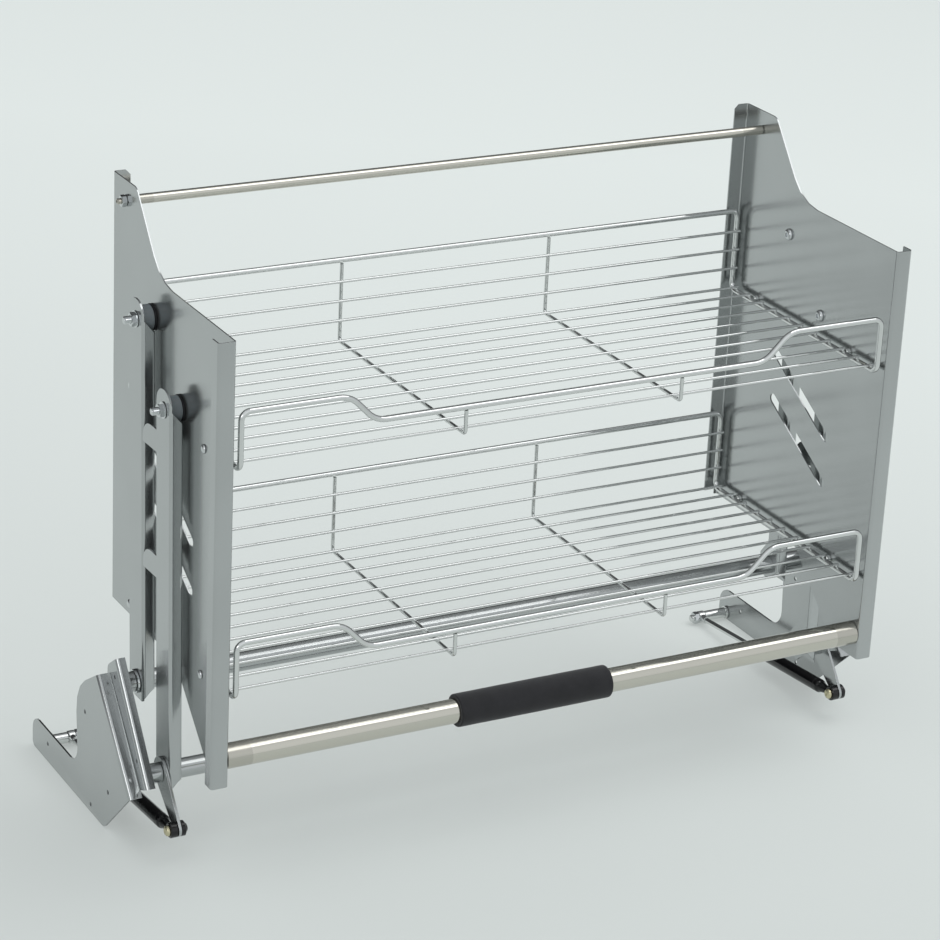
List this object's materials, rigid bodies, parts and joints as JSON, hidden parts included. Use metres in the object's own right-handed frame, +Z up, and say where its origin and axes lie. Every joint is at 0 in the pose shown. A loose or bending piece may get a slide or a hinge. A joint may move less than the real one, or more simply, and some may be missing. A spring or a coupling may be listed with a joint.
{
  "type": "pull down dish rack",
  "caption": "Pull-down cabinet rack: wire baskets between sheet-steel side panels, hung on parallel swing arms with gas springs and screwed wall brackets.",
  "frame": {"origin": "on the cabinet floor that the brackets stand over, midway between the two cabinet walls, between the arms' lower pivots and the brackets' long feet", "axes": "+X to the rack's right seen from the front, across the cabinet; -Y out of the cabinet, towards the user; +Z up"},
  "size_m": [0.864, 0.3636, 0.648],
  "materials": {
    "silver_paint": "satin metallic paint",
    "chrome_plate": "polished",
    "brushed_steel": "polished along its length",
    "zinc_plate": "bright zinc",
    "black_enamel": "gloss",
    "brass": "satin",
    "black_foam": "matt foam",
    "grey_nylon": "smooth"
  },
  "bodies": {
    "brackets": {"bracket_left": "silver_paint", "bracket_right": "silver_paint", "pivot_plate_left": "silver_paint", "pivot_plate_right": "silver_paint", "spring_stud_left": "chrome_plate", "spring_stud_right": "chrome_plate", "spring_nut_left": "zinc_plate", "spring_nut_right": "zinc_plate"},
    "front_arms": {"front_arm_left": "silver_paint", "front_arm_right": "silver_paint", "front_cross_tube": "silver_paint", "crank_lever_left": "silver_paint", "crank_lever_right": "silver_paint", "spring_cap_left": "black_enamel", "spring_cap_right": "black_enamel"},
    "rear_arms": {"rear_arm_left": "silver_paint", "rear_arm_right": "silver_paint", "rear_cross_tube": "silver_paint", "pivot_washer_left": "zinc_plate", "pivot_washer_right": "zinc_plate"},
    "carrier": {"side_panel_left": "silver_paint", "side_panel_right": "silver_paint", "bushing_front_left": "grey_nylon", "bushing_front_right": "grey_nylon", "bushing_rear_left": "grey_nylon", "bushing_rear_right": "grey_nylon", "pivot_bolt_front_left": "zinc_plate", "pivot_bolt_front_right": "zinc_plate", "pivot_bolt_rear_left": "zinc_plate", "pivot_bolt_rear_right": "zinc_plate", "pivot_nut_front_left": "zinc_plate", "pivot_nut_front_right": "zinc_plate", "pivot_nut_rear_left": "zinc_plate", "pivot_nut_rear_right": "zinc_plate", "top_rod": "brushed_steel", "rod_nut_left": "zinc_plate", "rod_nut_right": "zinc_plate", "handle_tube": "brushed_steel", "handle_plug_left": "zinc_plate", "handle_plug_right": "zinc_plate", "handle_grip": "black_foam", "basket_rim_lower": "chrome_plate", "basket_wires_lower": "chrome_plate", "basket_rim_upper": "chrome_plate", "basket_wires_upper": "chrome_plate", "basket_screw_lower_front_left": "zinc_plate", "basket_screw_lower_front_right": "zinc_plate", "basket_screw_lower_rear_left": "zinc_plate", "basket_screw_lower_rear_right": "zinc_plate", "basket_screw_upper_front_left": "zinc_plate", "basket_screw_upper_front_right": "zinc_plate", "basket_screw_upper_rear_left": "zinc_plate", "basket_screw_upper_rear_right": "zinc_plate"},
    "gas_rod_left": {"gas_rod_left": "chrome_plate"},
    "gas_rod_right": {"gas_rod_right": "chrome_plate"},
    "gas_cylinder_left": {"gas_cylinder_left": "black_enamel", "spring_pin_left": "brass"},
    "gas_cylinder_right": {"gas_cylinder_right": "black_enamel", "spring_pin_right": "brass"}
  },
  "joints": [
    {"name": "front_arms_swing", "type": "hinge", "parent": "brackets", "child": "front_arms", "pos_m": [0, -0.064, 0.076], "axis": [1, 0, 0], "range_deg": [0, 91.6]},
    {"name": "rear_arms_swing", "type": "hinge", "parent": "brackets", "child": "rear_arms", "pos_m": [0, 0.006, 0.145], "axis": [1, 0, 0], "range_deg": [0, 91.6]},
    {"name": "carrier_level", "type": "hinge", "parent": "front_arms", "child": "carrier", "pos_m": [0, -0.0556, 0.46091], "axis": [1, 0, 0], "range_deg": [-91.6, 0]},
    {"name": "gas_rod_left_tilt", "type": "hinge", "parent": "brackets", "child": "gas_rod_left", "pos_m": [-0.3946, 0.165, 0.008], "axis": [1, 0, 0], "range_deg": [-2.83, 0]},
    {"name": "gas_rod_right_tilt", "type": "hinge", "parent": "brackets", "child": "gas_rod_right", "pos_m": [0.3946, 0.165, 0.008], "axis": [1, 0, 0], "range_deg": [-2.83, 0]},
    {"name": "gas_cylinder_left_stroke", "type": "slide", "parent": "gas_rod_left", "child": "gas_cylinder_left", "axis": [0, 0.9958, -0.0915], "range_m": [0, 0.0866], "stiffness_N_per_m": 400, "springref_m": -0.3},
    {"name": "gas_cylinder_right_stroke", "type": "slide", "parent": "gas_rod_right", "child": "gas_cylinder_right", "axis": [0, 0.9958, -0.0915], "range_m": [0, 0.0866], "stiffness_N_per_m": 400, "springref_m": -0.3}
  ],
  "couplings": [
    {"joint": "rear_arms_swing", "follows": "front_arms_swing", "ratio": 1},
    {"joint": "carrier_level", "follows": "front_arms_swing", "ratio": -1},
    {"joint": "gas_rod_left_tilt", "follows": "front_arms_swing", "ratio": -0.030814},
    {"joint": "gas_rod_right_tilt", "follows": "front_arms_swing", "ratio": -0.030814},
    {"joint": "gas_cylinder_left_stroke", "follows": "front_arms_swing", "m_per_rad": 0.054094},
    {"joint": "gas_cylinder_right_stroke", "follows": "front_arms_swing", "m_per_rad": 0.054094}
  ]
}
